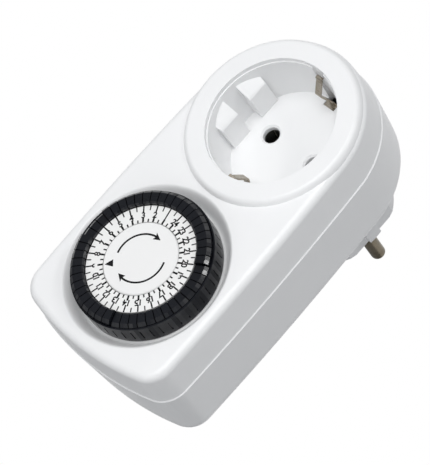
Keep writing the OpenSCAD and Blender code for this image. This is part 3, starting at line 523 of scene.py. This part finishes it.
def strip(mesh, points, width, thick, upward):
    """A bent flat strip in the plane x = 0, through points (y, z) of the source, with mitred bends."""
    stations = []
    for i, p in enumerate(points):
        before = (points[max(i, 1)] - points[max(i, 1) - 1]).normalized()
        after = (points[min(i, len(points) - 2) + 1] - points[min(i, len(points) - 2)]).normalized()
        side = (before + after).orthogonal()
        side *= thick / side.length_squared
        stations.append([mesh.verts.new(row(x, upward * q.x, q.y)) for q, x in (
            (p + side, -width / 2), (p + side, width / 2), (p - side, width / 2), (p - side, -width / 2))])
    for a, b in zip(stations, stations[1:]):
        for k in range(4):
            mesh.faces.new((a[k], a[(k + 1) % 4], b[(k + 1) % 4], b[k]))
    mesh.faces.new(stations[0][::-1])
    mesh.faces.new(stations[-1])


def arc(centre, r, start, stop, steps):
    """Points of an arc, with its angles in degrees."""
    turn = [math.radians(start + (stop - start) * i / steps) for i in range(steps + 1)]
    return [centre + r * Vector((math.cos(t), math.sin(t))) for t in turn]


def earth_clip(node, upward):
    """Spring contact of the recess: foot out of the floor, bulge towards the plug, curled tip."""
    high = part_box(node)[1]

    def at(point):
        return Vector((point[0], SOCKET_FLOOR + point[1]))

    mesh = bmesh.new()
    foot = [Vector((FOOT_Y, -high.y / MM)), at((FOOT_Y, FOOT_Z)), at((BEND_Y, FOOT_Z))]
    strip(mesh, foot, FOOT_W, FOOT_T, upward)
    spring = ([at(p) for p in ROOT] + arc(at(BULGE), BULGE_R, *BULGE_TURN, BULGE_STEPS) + [at(NECK)]
              + arc(at(TIP), TIP_R, *TIP_TURN, TIP_STEPS))
    strip(mesh, spring, SPRING_W, SPRING_T, upward)
    data = closed_mesh(node + "_clip", mesh, finish["clip_metal"])
    for face in data.polygons:
        face.use_smooth = True
    o = add_object(node + "_clip", data)
    b = o.modifiers.new("edges", "BEVEL")
    b.width, b.segments, b.limit_method = CLIP_BEVEL * MM, 2, "ANGLE"
    weigh_normals(o)
    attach(o, "casing")
    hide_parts(node)


earth_clip("earth_strip_upper", 1)
earth_clip("earth_strip_lower", -1)


# ---------- floor, light and background ----------

FLOOR_HALF, FLOOR_Z = 6.0, -0.9
FLOOR_LOW, FLOOR_HIGH = (0.90, 0.90, 0.90), (0.93, 0.93, 0.93)
# the room's light, as strength and colour
AMBIENT = 0.34
ROOM_COLOUR = (0.95, 0.97, 1.0, 1)
LAMPS_AIM = Vector((0, -0.05, -0.03))


def floor_and_world():
    """A pale floor far below, and a room that camera, transmission and glossy rays see as white."""
    data = bpy.data.meshes.new("floor")
    corners = [(x * FLOOR_HALF, y * FLOOR_HALF, FLOOR_Z) for x, y in ((-1, -1), (1, -1), (1, 1), (-1, 1))]
    data.from_pydata(corners, [], [(0, 1, 2, 3)])
    floor = add_object("floor", data)
    n = Nodes("floor_pale")
    n.link(n.ramp(n.noise(3), [(0.4, FLOOR_LOW), (0.6, FLOOR_HIGH)]), n.shader.inputs["Base Color"])
    n.set(Roughness=0.8)
    data.materials.append(n.material)

    world = bpy.data.worlds.new("studio")
    bpy.context.scene.world = world
    world.use_nodes = True
    t = world.node_tree
    t.nodes.clear()
    add, link, calc = t.nodes.new, t.links.new, calculator(t)
    rays = add("ShaderNodeLightPath").outputs
    seen = calc("MAXIMUM", calc("MAXIMUM", rays["Is Camera Ray"], rays["Is Transmission Ray"]),
                rays["Is Glossy Ray"])
    mix = add("ShaderNodeMixShader")
    link(seen, mix.inputs["Fac"])
    for socket, colour, strength in ((1, ROOM_COLOUR, AMBIENT), (2, (1, 1, 1, 1), 1.0)):
        background = add("ShaderNodeBackground")
        background.inputs["Color"].default_value = colour
        background.inputs["Strength"].default_value = strength
        link(background.outputs[0], mix.inputs[socket])
    link(mix.outputs[0], add("ShaderNodeOutputWorld").inputs["Surface"])


def camera_way(way):
    """A unit vector given in the camera's directions (right, up, towards the camera)."""
    return (RIGHT * way[0] + UP * way[1] - FORWARD * way[2]).normalized()


def softbox(name, way, along, distance, width, length, power):
    """An area lamp that shines from one direction, with its length along another."""
    v = camera_way(way)
    side = camera_way(along).cross(v).normalized()
    data = bpy.data.lights.new(name, "AREA")
    data.shape = "RECTANGLE"
    data.size, data.size_y, data.energy = width, length, power
    o = add_object(name, data)
    o.matrix_world = placed(LAMPS_AIM + v * distance, side, v.cross(side), v)


floor_and_world()
# name, where from and its length's way (camera's directions), distance, width and length in m, power in W
softbox("key", (-0.25, 0.40, 0.88), (0, 1, 0), 1.3, 1.0, 1.0, 10.6)
softbox("glint", (0.53, 0.48, 0.70), (0.09, 0.32, -0.29), 1.2, 0.07, 0.42, 1.9)
softbox("low_glint", (-0.68, -0.42, 0.60), (1, 0, 0), 1.2, 0.12, 0.12, 0.4)
